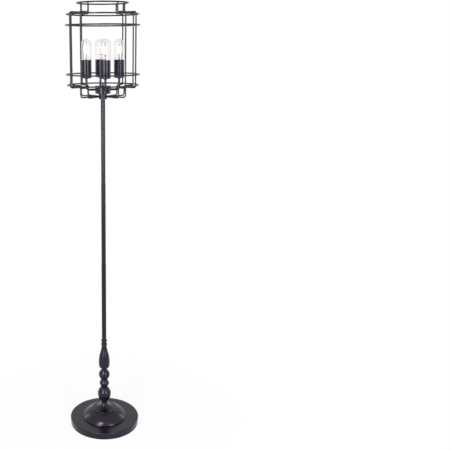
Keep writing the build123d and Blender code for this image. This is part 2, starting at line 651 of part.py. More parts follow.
def cup_body(radius, bottom, top, edge_radius):
    """Solid cup: a low boss in the bottom, a shallow cone out to the rounded edge, and a straight side."""
    edge = bottom + CUP_BOSS_HEIGHT + CUP_BOTTOM_RISE
    body = turned_points([
        (0, bottom),
        (CUP_BOSS_RADIUS, bottom),
        (CUP_BOSS_RADIUS + CUP_BOSS_DRAFT, bottom + CUP_BOSS_HEIGHT),
        (radius, edge),
        (radius, top),
        (0, top),
    ])
    return fillet(outer_rims(body, radius).group_by(Axis.Z)[0], edge_radius)


def socket_cup():
    cup = cup_body(CUP_RADIUS, CUP_BASE, CUP_RIM, CUP_EDGE_RADIUS)
    cup -= cup_body(
        CUP_RADIUS - CUP_WALL, CUP_BASE + CUP_WALL, CUP_RIM + CUP_WALL, CUP_EDGE_RADIUS - CUP_WALL)
    return at_socket(cup - rod(ARM_RADIUS + THREAD_CLEARANCE, CUP_BASE, CUP_RIM))


def lampholder():
    """Insulating body with a wiring chamber below and the screw shell's bore above."""
    body = cup_body(HOLDER_RADIUS, HOLDER_BASE, HOLDER_TOP, CUP_EDGE_RADIUS - CUP_WALL)
    body -= rod(ARM_RADIUS + THREAD_CLEARANCE, HOLDER_BASE, ARM_TOP)
    body -= rod(HOLDER_CAVITY_RADIUS, ARM_TOP, HOLDER_FLOOR - HOLDER_FLOOR_THICKNESS)
    body -= rod(SHELL_OUTER_RADIUS + THREAD_CLEARANCE, HOLDER_FLOOR, HOLDER_TOP)
    return at_socket(body)


def socket_shell():
    """Brass screw shell and the centre contact below it."""
    shell = tube(SHELL_OUTER_RADIUS, SHELL_INNER_RADIUS, HOLDER_FLOOR, HOLDER_TOP - SHELL_SETBACK)
    contact = rod(CONTACT_RADIUS, HOLDER_FLOOR, HOLDER_FLOOR + CONTACT_THICKNESS)
    return [at_socket(shell), at_socket(contact)]


# ---------------------------------------------------------------- bulb, drawn on +X
def bulb_cap():
    """Screw cap: contact, insulator cone and rolled thread, open at the top for the glass's neck."""
    thread_base = CAP_RIM - CAP_THREAD_TURNS * CAP_THREAD_PITCH - CAP_PLAIN_RIM
    thread = []
    for turn in range(CAP_THREAD_TURNS):
        low = thread_base + turn * CAP_THREAD_PITCH
        thread.append(ThreePointArc(
            (CAP_ROOT_RADIUS, low),
            (CAP_CREST_RADIUS, low + CAP_THREAD_PITCH / 2),
            (CAP_ROOT_RADIUS, low + CAP_THREAD_PITCH),
        ))
    inner = CAP_ROOT_RADIUS - CAP_WALL
    floor = thread_base + CAP_FLOOR
    bottom = Polyline(
        (0, CAP_BASE),
        (CAP_CONTACT_RADIUS, CAP_BASE),
        (CAP_CONTACT_RADIUS, CAP_BASE + CAP_CONTACT_HEIGHT),
        (CAP_ROOT_RADIUS, thread_base),
    )
    inside = Polyline(
        (CAP_ROOT_RADIUS, CAP_RIM - CAP_PLAIN_RIM),
        (CAP_ROOT_RADIUS, CAP_RIM),
        (inner, CAP_RIM),
        (inner, floor),
        (0, floor),
        (0, CAP_BASE),
    )
    return at_socket(turned(*bottom.edges(), *thread, *inside.edges()))


def glass_body(wall):
    """Solid of the envelope's outline, from the neck's bottom to the tip, set in by the given wall."""
    neck = GLASS_NECK_RADIUS - wall
    full = GLASS_RADIUS - wall
    at_rim = CUP_RADIUS - CUP_WALL - GLASS_CUP_GAP - wall
    bottom = CAP_RIM - GLASS_NECK_DEPTH
    shoulder = CAP_RIM + GLASS_SHOULDER
    crown_base = CAP_RIM + GLASS_EXPOSED - GLASS_RADIUS
    return turned(
        Line((neck, bottom), (neck, CAP_RIM)),
        Spline((neck, CAP_RIM), (at_rim, CUP_RIM), (full, shoulder), tangents=[(1, 0.5), (0, 1)]),
        Line((full, shoulder), (full, crown_base)),
        RadiusArc((full, crown_base), (0, crown_base + full), -full),
        Line((0, crown_base + full), (0, bottom)),
        Line((0, bottom), (neck, bottom)),
    )


def bulb_glass():
    """Clear envelope, with the stem flared and fused to the neck's bottom."""
    flare_base = CAP_RIM - GLASS_NECK_DEPTH
    flare_edge = flare_base + GLASS_WALL
    pinch_base = CAP_RIM + STEM_HEIGHT - STEM_PINCH
    stem = turned(
        Line((0, flare_base), (GLASS_NECK_RADIUS, flare_base)),
        Line((GLASS_NECK_RADIUS, flare_base), (GLASS_NECK_RADIUS, flare_edge)),
        Spline((GLASS_NECK_RADIUS, flare_edge), (STEM_RADIUS, CAP_RIM), tangents=[(-1, 0.3), (0, 1)]),
        Line((STEM_RADIUS, CAP_RIM), (STEM_RADIUS, pinch_base)),
        Line((STEM_RADIUS, pinch_base), (0, pinch_base)),
        Line((0, pinch_base), (0, flare_base)),
    )
    pinch = Pos(0, 0, pinch_base) * Box(
        2 * STEM_RADIUS, STEM_RADIUS, STEM_PINCH, align=(Align.CENTER, Align.CENTER, Align.MIN))
    return at_socket(glass_body(0) - glass_body(GLASS_WALL) + stem + pinch)


def bulb_filaments():
    """Upright filaments round a centre wire, joined by spokes below and above, with a loop on top."""
    low = CAP_RIM + STEM_HEIGHT
    bottom = low + SUPPORT_RISE
    top = bottom + FILAMENT_LENGTH
    hub = top + SUPPORT_RISE
    group = rod(SUPPORT_RADIUS, low, hub + HOOK_RISE)
    group += Pos(0, 0, hub + HOOK_RISE + HOOK_RADIUS) * Rot(90, 0, 0) * Torus(HOOK_RADIUS, SUPPORT_RADIUS)
    tabs = Pos(FILAMENT_CIRCLE_RADIUS, 0, 0) * rod(FILAMENT_TAB_RADIUS, bottom, top)
    strip = Pos(FILAMENT_CIRCLE_RADIUS, 0, 0) * rod(
        FILAMENT_RADIUS, bottom + FILAMENT_TAB_LENGTH, top - FILAMENT_TAB_LENGTH)
    lower_spoke = spoke(low + SUPPORT_RADIUS, bottom + SUPPORT_RADIUS)
    upper_spoke = spoke(hub - SUPPORT_RADIUS, top - SUPPORT_RADIUS)
    for index in range(FILAMENT_COUNT):
        turn = Rot(0, 0, index * 360 / FILAMENT_COUNT)
        for piece in (tabs, strip, lower_spoke, upper_spoke):
            group += turn * piece
    return at_socket(group)


def spoke(hub_height, end_height):
    """Thin wire from the bulb's axis out to a filament's end."""
    return along(Line((0, 0, hub_height), (FILAMENT_CIRCLE_RADIUS, 0, end_height)), SUPPORT_RADIUS)


# ---------------------------------------------------------------- cage
def ring(radius, height):
    return Pos(0, 0, height) * Torus(radius, WIRE_RADIUS)


CAGE_RINGS = {
    "cage_ring_top": (TOP_RING_RADIUS, TOP_RING_AXIS),
    "cage_ring_shoulder": (NARROW_RING_RADIUS, SHOULDER_WIRE_AXIS - 2 * WIRE_RADIUS - WELD_GAP),
    "cage_ring_upper": (WIDE_RING_RADIUS, SHOULDER_WIRE_AXIS - UPPER_WIDE_RING_DROP),
    "cage_ring_lower": (WIDE_RING_RADIUS, SHOULDER_WIRE_AXIS - UPPER_WIDE_RING_DROP - LOWER_WIDE_RING_DROP),
    "cage_ring_bottom": (NARROW_RING_RADIUS, STEP_WIRE_AXIS + 2 * WIRE_RADIUS + WELD_GAP),
}


def cage_wire():
    """One bent wire on +X: out of the collar, up, out, up the cage's side, in over the shoulder and up."""
    path = FilletPolyline(
        (COLLAR_RADIUS - WIRE_RADIUS, 0, LOW_WIRE_AXIS),
        (LOW_WIRE_RADIUS, 0, LOW_WIRE_AXIS),
        (LOW_WIRE_RADIUS, 0, STEP_WIRE_AXIS),
        (TALL_WIRE_RADIUS, 0, STEP_WIRE_AXIS),
        (TALL_WIRE_RADIUS, 0, SHOULDER_WIRE_AXIS),
        (TOP_RING_RADIUS, 0, SHOULDER_WIRE_AXIS),
        (TOP_RING_RADIUS, 0, TOP_RING_AXIS),
        radius=[LOW_BEND_RADIUS] + 4 * [WIRE_BEND_RADIUS],
    )
    wire = along(path, WIRE_RADIUS)
    wire -= rod(COLLAR_RADIUS, POLE_TOP, DRUM_BASE)
    return wire - ring(TOP_RING_RADIUS, TOP_RING_AXIS)


# ---------------------------------------------------------------- wiring
def wiring_harness():
    """Two-core trunk from behind the outlet up the hollow column, and a lead along each arm."""
    start = SKIRT_BOTTOM_RADIUS - TRUNK_SETBACK
    floor = PAD_THICKNESS + TRUNK_RADIUS + TRUNK_PAD_GAP
    route = FilletPolyline(
        (0, start, OUTLET_HEIGHT),
        (0, TRUNK_DROP[0] * start, OUTLET_HEIGHT),
        (0, TRUNK_DROP[1] * start, floor),
        (0, 0, floor),
        (0, 0, ARM_AXIS - BRANCH_RADIUS - TRUNK_END_GAP),
        radius=[TRUNK_SWEEP_RADIUS, TRUNK_SWEEP_RADIUS, TRUNK_BEND_RADIUS],
    )
    branch = along(arm_path(BRANCH_START, ARM_TOP + BRANCH_TAIL), BRANCH_RADIUS)
    branches = [towards(SOCKET_TURN + side) * branch for side in SOCKET_SIDES.values()]
    return [along(route, TRUNK_RADIUS), *branches]


def around(shape, angle):
    """A shape, or each of a list of shapes, turned from +X to the given angle from the front."""
    shapes = shape if isinstance(shape, list) else [shape]
    return [towards(angle) * each for each in shapes]


def build():
    nodes = {
        "base_pad": base_pad(),
        "base_weight": base_weight(),
        "base_cover": base_cover(),
        "base_dome": base_dome(),
        "base_bell": base_bell(),
        "base_fasteners": base_fasteners(),
        "cord_outlet_bushing": cord_outlet_bushing(),
        "column_rod": column_rod(),
        "lower_ball": lower_ball(),
        "middle_ball": middle_ball(),
        "upper_ball": upper_ball(),
        "column_vase": column_vase(),
        "beaded_ferrule": beaded_ferrule(),
        "pole_bushings": pole_bushings(),
        "threaded_nipples": threaded_nipples(),
        "hub_collar": hub_collar(),
        "cluster_drum": cluster_drum(),
        "drum_cover": drum_cover(),
        "cover_strap": cover_strap(),
        "cover_knob": cover_knob(),
        "hub_nuts": hub_nuts(),
        "wiring_harness": wiring_harness(),
    }
    for name, (radius, base) in POLE_SECTIONS.items():
        nodes[name] = pole_section(radius, base)
    for name, (radius, height) in CAGE_RINGS.items():
        nodes[name] = ring(radius, height)

    wire = cage_wire()
    for place, angle in WIRE_PAIRS.items():
        pair = [angle - WIRE_PAIR_HALF_ANGLE, angle + WIRE_PAIR_HALF_ANGLE]
        nodes[f"cage_wires_{place}"] = [towards(each) * wire for each in pair]

    repeated = {
        "arm": arm(),
        "socket_cup": socket_cup(),
        "lampholder": lampholder(),
        "bulb_cap": bulb_cap(),
        "bulb_glass": bulb_glass(),
        "bulb_filaments": bulb_filaments(),
    }
    shells = socket_shell()
    nodes["socket_shells"] = []
    for place, side in SOCKET_SIDES.items():
        for name, shape in repeated.items():
            nodes[f"{name}_{place}"] = around(shape, SOCKET_TURN + side)
        nodes["socket_shells"] += around(shells, SOCKET_TURN + side)
    return nodes


def write(nodes):
    os.makedirs("parts", exist_ok=True)
    for name, shape in nodes.items():
        shapes = shape if isinstance(shape, list) else [shape]
        solids = [solid for each in shapes for solid in each.solids()]
        export_step(solids[0] if len(solids) == 1 else Compound(children=solids), f"parts/{name}.step")


write(build())
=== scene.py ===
import json
import math

import bpy
from mathutils import Matrix, Vector


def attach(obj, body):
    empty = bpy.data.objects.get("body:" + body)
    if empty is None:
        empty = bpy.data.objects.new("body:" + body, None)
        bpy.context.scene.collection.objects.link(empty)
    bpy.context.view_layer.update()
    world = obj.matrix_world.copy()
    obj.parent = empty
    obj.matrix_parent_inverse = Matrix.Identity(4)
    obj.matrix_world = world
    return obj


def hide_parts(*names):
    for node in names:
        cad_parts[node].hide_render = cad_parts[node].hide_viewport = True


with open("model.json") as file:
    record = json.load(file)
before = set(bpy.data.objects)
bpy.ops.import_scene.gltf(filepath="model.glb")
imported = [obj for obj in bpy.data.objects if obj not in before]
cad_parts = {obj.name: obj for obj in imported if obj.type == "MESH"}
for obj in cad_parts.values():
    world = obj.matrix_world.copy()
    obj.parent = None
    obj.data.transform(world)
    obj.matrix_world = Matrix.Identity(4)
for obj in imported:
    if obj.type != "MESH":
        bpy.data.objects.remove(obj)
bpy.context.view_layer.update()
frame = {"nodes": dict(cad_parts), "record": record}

MM = 0.001

# ---------------------------------------------------------------- sizes, in millimetres
# Heights are from the floor. A size that the part's source also has is the same as there.
SOCKET_CIRCLE_RADIUS = 56.0
SOCKETS = {"front": -82.3, "right": 7.7, "rear": 97.7, "left": 187.7}    # degrees from +X
CUP_RIM = 1366.6

GLASS_RADIUS = 18.5
GLASS_WALL = 0.9
GLASS_AT_RIM = 16.2            # outside radius where the glass leaves the cup
GLASS_NECK_RADIUS = 11.6
GLASS_NECK_BOTTOM = 1351.6
GLASS_SHOULDER = 1378.1        # the glass has its full radius from here up to the round tip
GLASS_TIP = 1434.8

STEM_RADIUS = 3.2
STEM_FOOT = 0.5                # above the bottom of the neck
STEM_GAP = 0.1                 # between the edge of its flare and the neck
STEM_FLARE_HEIGHT = 2.0        # above the cap's rim, where the flare has become a tube
STEM_PINCH_BASE = 1377.0
STEM_TOP = 1381.6

FILAMENT_BOTTOM = 1384.1
FILAMENT_TOP = 1414.1
FILAMENT_RADIUS = 1.1
FILAMENT_CIRCLE = 7.5
FILAMENT_HUB = 1416.6
TAB_LENGTH = 2.5
TAB_HALF_WIDTH = 0.7
TAB_HALF_THICKNESS = 0.25
SUPPORT_RADIUS = 0.35
SUPPORT_OVERLAP = 0.3          # how far a spoke reaches along its tab
MAST_POINTS = (1395.0, 1410.0) # between the ends of the straight wire in the middle
HOOK_CENTRE = 1424.0
HOOK_RADIUS = 2.4
LEAD_RADIUS = 0.45
LEAD_OFFSET = 1.3

CAP_RIM = 1360.6
CAP_BASE = 1334.6
CAP_SHEET = 0.4
CAP_ROOT_RADIUS = 12.3
CAP_CREST_RADIUS = 13.1
CAP_THREAD_BASE = 1341.25
CAP_THREAD_TOP = 1359.4
CAP_THREAD_PITCH = 3.63
CAP_THREAD_RUNOUT = 2.0        # height over which the thread rises out of the plain shell
CAP_THREAD_LIP = 0.3           # plain shell over the thread, below the rim's edge
# Radius and height over the cap's base, from the tip outwards.
SOLDER_BUTTON = [(0, 0), (2.6, 0.1), (3.9, 0.45), (4.7, 1.0), (4.9, 1.3)]
INSULATOR = [(4.9, 1.3), (5.6, 1.9)]
INSULATOR_EDGE = (11.2, 0.6)   # radius, and depth under the thread's base

WIRE_RADIUS = 2.4
WIRE_ANGLES = [quarter + half for quarter in (-45, 45, 135, 225) for half in (-11.05, 11.05)]
NARROW_RING_RADIUS = 120.0
NARROW_RING_WELDS = (1515.7, 1281.7)
WIDE_RING_WELD_RADIUS = 125.9  # where the wide rings touch the upright wires from inside
WIDE_RING_WELDS = (1479.1, 1319.1)
TOP_RING_RADIUS = 85.2
TOP_RING_WELD = 1547.0
COLLAR_RADIUS = 14.3
LOW_WIRE_AXIS = 1245.5
BEAD_LONG = 2.3                # half size of a weld bead along the two wires that cross
BEAD_THIN = 1.5                # half size from one wire to the other
FILLET_SINK = 0.1              # into the collar
# Of a weld's fillet: out from the wire's surface, and along the wire.
FILLET_OUTLINE = [(-0.2, 2.2), (0.15, 1.7), (0.45, 0.9), (0.9, 0.0), (-0.2, -0.2)]


# ---------------------------------------------------------------- shaders
def srgb(code):
    """'#rrggbb' as written on a screen, to Blender's linear colour."""
    def channel(value):
        return value / 12.92 if value <= 0.04045 else ((value + 0.055) / 1.055) ** 2.4
    return tuple(channel(int(code[i:i + 2], 16) / 255) for i in (1, 3, 5)) + (1.0,)


def node(tree, kind, sockets=None, **settings):
    """Adds one node. A socket's value is a constant, or another node's output to link to it."""
    made = tree.nodes.new("ShaderNode" + kind)
    for name, value in settings.items():
        setattr(made, name, value)
    for name, value in (sockets or {}).items():
        if isinstance(value, bpy.types.NodeSocket):
            tree.links.new(value, made.inputs[name])
        else:
            made.inputs[name].default_value = value
    return made


def empty_tree(owner):
    """The node tree of a material or world, with nothing in it."""
    owner.use_nodes = True
    owner.node_tree.nodes.clear()
    return owner.node_tree


class Finish:
    """A material with one Principled shader; fixed holds the sockets that are the same all over."""

    WHOLE = (0.0, 1.0)
    MIDDLE = (0.3, 0.7)        # most of a grain's values lie in it

    def __init__(self, name, fixed):
        self.material = bpy.data.materials.new(name)
        self.tree = empty_tree(self.material)
        self.shader = node(self.tree, "BsdfPrincipled", fixed)
        node(self.tree, "OutputMaterial", {"Surface": self.shader.outputs[0]})

    def grain(self, size, detail=2.0, coarseness=0.5, stretch=(1, 1, 1)):
        """A cloudy pattern whose blobs are about size mm across on the real object."""
        place = node(self.tree, "TexCoord").outputs["Object"]
        stretched = node(self.tree, "Mapping", {"Vector": place, "Scale": stretch}).outputs[0]
        return node(self.tree, "TexNoise", {
            "Vector": stretched, "Scale": 1 / (size * MM), "Detail": detail,
            "Roughness": coarseness}).outputs["Fac"]

    def vary(self, socket, pattern, first, second, span=None):
        """Lets a socket go from first to second as the pattern goes through the span.

        They are two colours, two numbers or, for the normal, two heights in mm. The span is the
        pattern's whole range for colours and its middle for numbers, unless another is given.
        """
        colours = isinstance(first, str)
        low, high = span or (self.WHOLE if colours else self.MIDDLE)
        if socket == "Normal":
            source = node(self.tree, "Bump", {
                "Height": pattern, "Distance": (second - first) * MM}).outputs[0]
        elif colours:
            share = node(self.tree, "MapRange", {
                "Value": pattern, "From Min": low, "From Max": high}).outputs[0]
            source = node(self.tree, "Mix", {
                "Factor": share, "A": srgb(first), "B": srgb(second)},
                data_type="RGBA").outputs["Result"]
        else:
            source = node(self.tree, "MapRange", {
                "Value": pattern, "From Min": low, "From Max": high,
                "To Min": first, "To Max": second}).outputs[0]
        self.tree.links.new(source, self.shader.inputs[socket])


def satin_black_powder_coat():
    """Satin black powder coat on steel: sprayed and baked, with the faint orange peel of baking.

    Its sheen has a slight lilac cast.
    """
    coat = Finish("satin_black_powder_coat", {
        "IOR": 1.5, "Specular IOR Level": 0.36, "Specular Tint": srgb("#ece2fc")})
    coat.vary("Base Color", coat.grain(55, detail=3), "#0f0d13", "#141119", span=coat.MIDDLE)
    coat.vary("Roughness", coat.grain(30, detail=3), 0.23, 0.26)
    coat.vary("Normal", coat.grain(2.5, detail=1), 0, 0.003)
    return coat.material


def foam_pad():
    """Closed-cell EVA foam pad, cut from sheet, so that its cells are open on the surface; the
    hollow of each cell has painted shade.
    """
    cell_size = 0.7
    foam = Finish("eva_foam", {"Roughness": 0.9, "IOR": 1.45})
    place = node(foam.tree, "TexCoord").outputs["Object"]
    cells = node(foam.tree, "TexVoronoi", {
        "Vector": place, "Scale": 1 / (cell_size * MM)}).outputs["Distance"]
    # Painted shade: darker towards the middle of each cell, where the surface dips.
    foam.vary("Base Color", cells, "#1b1b1c", "#2b2b2d")
    foam.vary("Normal", cells, 0, 0.15)
    return foam.material


def cast_iron():
    """Grey cast iron weight, sand cast and left raw: grainy skin with a little rust bloom."""
    iron = Finish("cast_iron", {"Metallic": 1.0})
    iron.vary("Base Color", iron.grain(18, detail=5), "#5b5856", "#6d4a37", span=(0.55, 0.75))
    skin = iron.grain(0.9, detail=4, coarseness=0.7)
    iron.vary("Roughness", skin, 0.6, 0.85)
    iron.vary("Normal", skin, 0, 0.12)
    return iron.material


def zinc_plated_steel():
    """Bright zinc plate on turned steel fittings: cool grey, with fine lathe marks."""
    zinc = Finish("zinc_plated_steel", {"Metallic": 1.0})
    zinc.vary("Base Color", zinc.grain(6, detail=3), "#a9adb3", "#c3c6c8")
    marks = zinc.grain(4, stretch=(1, 1, 30))
    zinc.vary("Roughness", marks, 0.24, 0.42)
    zinc.vary("Normal", marks, 0, 0.006)
    return zinc.material


def black_nylon():
    """Moulded black nylon bushing, with the fine spark-eroded grain of its mould."""
    nylon = Finish("black_nylon", {"IOR": 1.53})
    grain = nylon.grain(0.35)
    nylon.vary("Base Color", grain, "#161616", "#1f1f1f")
    nylon.vary("Roughness", grain, 0.42, 0.58)
    nylon.vary("Normal", grain, 0, 0.02)
    return nylon.material


def pvc_jacket():
    """Extruded PVC wire jacket: black, slightly waxy, a little uneven from the die."""
    jacket = Finish("pvc_jacket", {"IOR": 1.54})
    die_marks = jacket.grain(1.2)
    jacket.vary("Base Color", die_marks, "#141414", "#202020")
    jacket.vary("Roughness", die_marks, 0.38, 0.52)
    jacket.vary("Normal", die_marks, 0, 0.01)
    return jacket.material


def black_phenolic():
    """Black phenolic lampholder: compression moulded, faintly mottled by its filler."""
    phenolic = Finish("black_phenolic", {"IOR": 1.6})
    filler = phenolic.grain(1.6, detail=5, coarseness=0.7)
    phenolic.vary("Base Color", filler, "#151211", "#2a2321")
    phenolic.vary("Roughness", filler, 0.3, 0.46)
    phenolic.vary("Normal", filler, 0, 0.008)
    return phenolic.material


def rolled_brass():
    """Rolled brass screw shell and contact: pressed from strip, lightly tarnished."""
    brass = Finish("rolled_brass", {"Metallic": 1.0})
    tarnish = brass.grain(7, detail=4)
    brass.vary("Base Color", tarnish, "#d8b365", "#a98742")
    brass.vary("Roughness", tarnish, 0.2, 0.4)
    brass.vary("Normal", brass.grain(0.8, stretch=(1, 1, 12)), 0, 0.004)
    return brass.material


def nickel_plate():
    """Nickel-plated bulb cap: rolled thread on thin sheet, warm silver."""
    nickel = Finish("nickel_plate", {"Metallic": 1.0})
    cloud = nickel.grain(5, detail=3)
    nickel.vary("Base Color", cloud, "#c9c4ba", "#b3aea6")
    nickel.vary("Roughness", cloud, 0.16, 0.32)
    nickel.vary("Normal", nickel.grain(0.7), 0, 0.004)
    return nickel.material


def clear_glass():
    """Clear soda-lime bulb glass: blown tube, a little grey where it is seen edge on."""
    glass = Finish("clear_soda_lime_glass", {
        "Roughness": 0.04, "IOR": 1.52, "Transmission Weight": 1.0})
    edge_on = node(glass.tree, "LayerWeight", {"Blend": 0.25}).outputs["Facing"]
    glass.vary("Base Color", edge_on, "#fdfcfe", "#d2ced6")
    return glass.material


def lit_phosphor():
    """Lit LED filament: blue chips under yellow phosphor silicone, glowing warm white together."""
    phosphor = Finish("lit_phosphor", {"Roughness": 0.5, "IOR": 1.43, "Emission Strength": 1.35})
    chips = phosphor.grain(0.9, detail=1)
    phosphor.vary("Base Color", chips, "#7d6b4a", "#6b5636")
    phosphor.vary("Emission Color", chips, "#fff4de", "#ffe8c2")
    phosphor.vary("Normal", chips, 0, 0.03)
    return phosphor.material


def support_wire_with_painted_glow():
    """Nickel-plated steel support wire and crimped tabs, with the warm glow beside them painted
    into their colour.
    """
    wire = Finish("support_wire_with_painted_glow", {"Metallic": 1.0})
    cloud = wire.grain(2)
    # Painted light: both tan colours stand in for the filaments' warm glow on the grey nickel.
    wire.vary("Base Color", cloud, "#b9a384", "#a08a6c")
    wire.vary("Roughness", cloud, 0.25, 0.4)
    return wire.material


def copper_clad_lead():
    """Copper-clad lead wire, red with borate where it passes through the glass stem."""
    lead = Finish("copper_clad_lead", {"Metallic": 1.0})
    cloud = lead.grain(1.5)
    lead.vary("Base Color", cloud, "#cf9884", "#b67a66")
    lead.vary("Roughness", cloud, 0.28, 0.42)
    return lead.material


def black_cap_glass():
    """Black glass poured between a bulb cap's shell and its contact: shiny, slightly wavy."""
    glass = Finish("black_cap_glass", {"Roughness": 0.15, "IOR": 1.52})
    wave = glass.grain(3, detail=3)
    glass.vary("Base Color", wave, "#15101a", "#241b2b")
    glass.vary("Normal", wave, 0, 0.05)
    return glass.material


def tin_solder():
    """Tin solder button on a bulb's contact: dull, slightly rippled."""
    solder = Finish("tin_solder", {"Metallic": 1.0, "Roughness": 0.4})
    ripple = solder.grain(1.4, detail=3)
    solder.vary("Base Color", ripple, "#b7b7b3", "#8f8f8c")
    solder.vary("Normal", ripple, 0, 0.06)
    return solder.material


SLOT_MATERIALS = {
    "black_coat": satin_black_powder_coat(),
    "foam_pad": foam_pad(),
    "cast_iron": cast_iron(),
    "zinc_steel": zinc_plated_steel(),
    "bushing_plastic": black_nylon(),
    "wire_jacket": pvc_jacket(),
    "phenolic": black_phenolic(),
    "brass_shell": rolled_brass(),
    "nickel_cap": nickel_plate(),
    "clear_glass": clear_glass(),
    "filament": lit_phosphor(),
}
GLASS_FINISHES = [SLOT_MATERIALS["clear_glass"]]
FILAMENT_FINISHES = [SLOT_MATERIALS["filament"], support_wire_with_painted_glow(), copper_clad_lead()]
CAP_FINISHES = [SLOT_MATERIALS["nickel_cap"], black_cap_glass(), tin_solder()]
WELD_FINISHES = [SLOT_MATERIALS["black_coat"]]

for part in frame["record"]["subparts"]:
    cad = frame["nodes"][part["node"]]
    cad.data.materials.clear()
    cad.data.materials.append(SLOT_MATERIALS[part["material_slot"]])


# ---------------------------------------------------------------- shapes, in millimetres
def add_object(name, data):
    """A new object in the scene, made of the given mesh, light or camera."""
    made = bpy.data.objects.new(name, data)
    bpy.context.scene.collection.objects.link(made)
    return made


class Shape:
    """Points and faces of one piece while it is put together."""

    SHARP_ANGLE = math.radians(40)
    TO_MM = Matrix.Diagonal((1 / MM, 1 / MM, 1 / MM, 1))
    TO_METRES = Matrix.Diagonal((MM, MM, MM, 1))

    def __init__(self):
        self.points = []
        self.faces = []
        self.finishes = []

    def add(self, points, faces, finish=0):
        """Adds points and the faces between them; finish is a place in the piece's materials."""
        start = len(self.points)
        self.points += points
        self.faces += [tuple(start + index for index in face) for face in faces]
        self.finishes += [finish] * len(faces)

    def piece(self, name, materials, place=None):
        """The finished object, moved by place, a matrix in millimetres."""
        mesh = bpy.data.meshes.new(name)
        mesh.from_pydata([tuple(v * MM for v in point) for point in self.points], [], self.faces)
        for material in materials:
            mesh.materials.append(material)
        mesh.polygons.foreach_set("material_index", self.finishes)
        mesh.shade_smooth()
        mesh.set_sharp_from_angle(angle=self.SHARP_ANGLE)
        made = add_object(name, mesh)
        if place:
            mesh.transform(self.TO_METRES @ place @ self.TO_MM)
        return made


def around(sides):
    """Pairs of a side's number and the next one's, all the way round."""
    return [(side, (side + 1) % sides) for side in range(sides)]


def circle(sides):
    """Cosine and sine of equal steps round a circle."""
    turns = [2 * math.pi * side / sides for side in range(sides)]
    return [(math.cos(turn), math.sin(turn)) for turn in turns]


def lathe(profile, sides=64):
    """An outline of (radius, height) turned about Z. A point on the axis closes the shape."""
    points, rows, faces = [], [], []
    for radius, height in profile:
        if radius == 0:
            rows.append([len(points)] * sides)
            points.append((0, 0, height))
        else:
            rows.append(list(range(len(points), len(points) + sides)))
            points += [(radius * x, radius * y, height) for x, y in circle(sides)]
    for low, high in zip(rows, rows[1:]):
        for side, after in around(sides):
            corners = dict.fromkeys((low[side], low[after], high[after], high[side]))
            if len(corners) > 2:
                faces.append(tuple(corners))
    return points, faces


def bar(path, radius, sides=10, closed=False):
    """A round bar along a path; an open one has domed ends."""
    dome = 0.6                 # height of an end's dome, as a share of the radius
    path = [Vector(point) for point in path]
    count = len(path)
    points, faces = [], []
    side_way = None
    for index, here in enumerate(path):
        before = path[(index - 1) % count] if closed else path[max(index - 1, 0)]
        after = path[(index + 1) % count] if closed else path[min(index + 1, count - 1)]
        ahead = (after - before).normalized()
        if side_way is None:
            side_way = ahead.orthogonal().normalized()
        side_way = (side_way - ahead * side_way.dot(ahead)).normalized()
        up = ahead.cross(side_way)
        points += [tuple(here + radius * (x * side_way + y * up)) for x, y in circle(sides)]
    for ring in range(count if closed else count - 1):
        low, high = ring * sides, ((ring + 1) % count) * sides
        faces += [(low + side, low + after, high + after, high + side)
                  for side, after in around(sides)]
    if not closed:
        for ring, outward in ((0, path[0] - path[1]), (count - 1, path[-1] - path[-2])):
            tip = len(points)
            points.append(tuple(path[ring] + outward.normalized() * radius * dome))
            for side, after in around(sides):
                pair = (ring * sides + side, ring * sides + after)
                faces.append((tip, *(pair[::-1] if ring == 0 else pair)))
    return points, faces


def curve(start, end, leave, arrive, steps):
    """Points from start to end, leaving and arriving in the given directions, without the first."""
    length = math.dist(start, end)
    points = []
    for step in range(1, steps + 1):
        t = step / steps
        weights = (2 * t ** 3 - 3 * t ** 2 + 1, t ** 3 - 2 * t ** 2 + t,
                   3 * t ** 2 - 2 * t ** 3, t ** 3 - t ** 2)
        points.append(tuple(
            weights[0] * a + weights[1] * length * b + weights[2] * c + weights[3] * length * d
            for a, b, c, d in zip(start, leave, end, arrive)))
    return points


def at_socket(side):
    """Matrix from the lamp's axis out to a socket."""
    turn = Matrix.Rotation(math.radians(SOCKETS[side]), 4, "Z")
    return turn @ Matrix.Translation((SOCKET_CIRCLE_RADIUS, 0, 0))


# ---------------------------------------------------------------- bulbs
def envelope_profile(wall):
    """Outline of the envelope from the neck's bottom to the tip, set in by wall."""
    neck, full, at_rim = GLASS_NECK_RADIUS - wall, GLASS_RADIUS - wall, GLASS_AT_RIM - wall
    crown = GLASS_TIP - GLASS_RADIUS
    out_of_cap, past_rim, upright = (0.85, 0.5), (0.36, 0.93), (0, 1)
    profile = [(neck, GLASS_NECK_BOTTOM + 2 * wall), (neck, CAP_RIM)]
    profile += curve(profile[-1], (at_rim, CUP_RIM), out_of_cap, past_rim, 6)
    profile += curve(profile[-1], (full, GLASS_SHOULDER), past_rim, upright, 10)
    profile += [(full, GLASS_SHOULDER + 0.25 * step * (crown - GLASS_SHOULDER))
                for step in range(1, 5)]
    for degrees in range(5, 90, 5):
        turn = math.radians(degrees)
        profile.append((full * math.cos(turn), crown + full * math.sin(turn)))
    return profile + [(0, crown + full)]


def stem_profile():
    """Outline of the stem from the middle of its foot, out to the flare and up to the top."""
    foot = GLASS_NECK_BOTTOM + STEM_FOOT
    flare_edge = (GLASS_NECK_RADIUS - GLASS_WALL - STEM_GAP, foot)
    flare_end = (STEM_RADIUS, CAP_RIM + STEM_FLARE_HEIGHT)
    return [(0, foot), flare_edge, *curve(flare_edge, flare_end, (-1, 0.3), (0, 1), 12),
            (STEM_RADIUS, STEM_PINCH_BASE - 4), (STEM_RADIUS, STEM_PINCH_BASE),
            (0.97 * STEM_RADIUS, STEM_TOP - 1.2), (0.75 * STEM_RADIUS, STEM_TOP - 0.3),
            (0, STEM_TOP)]


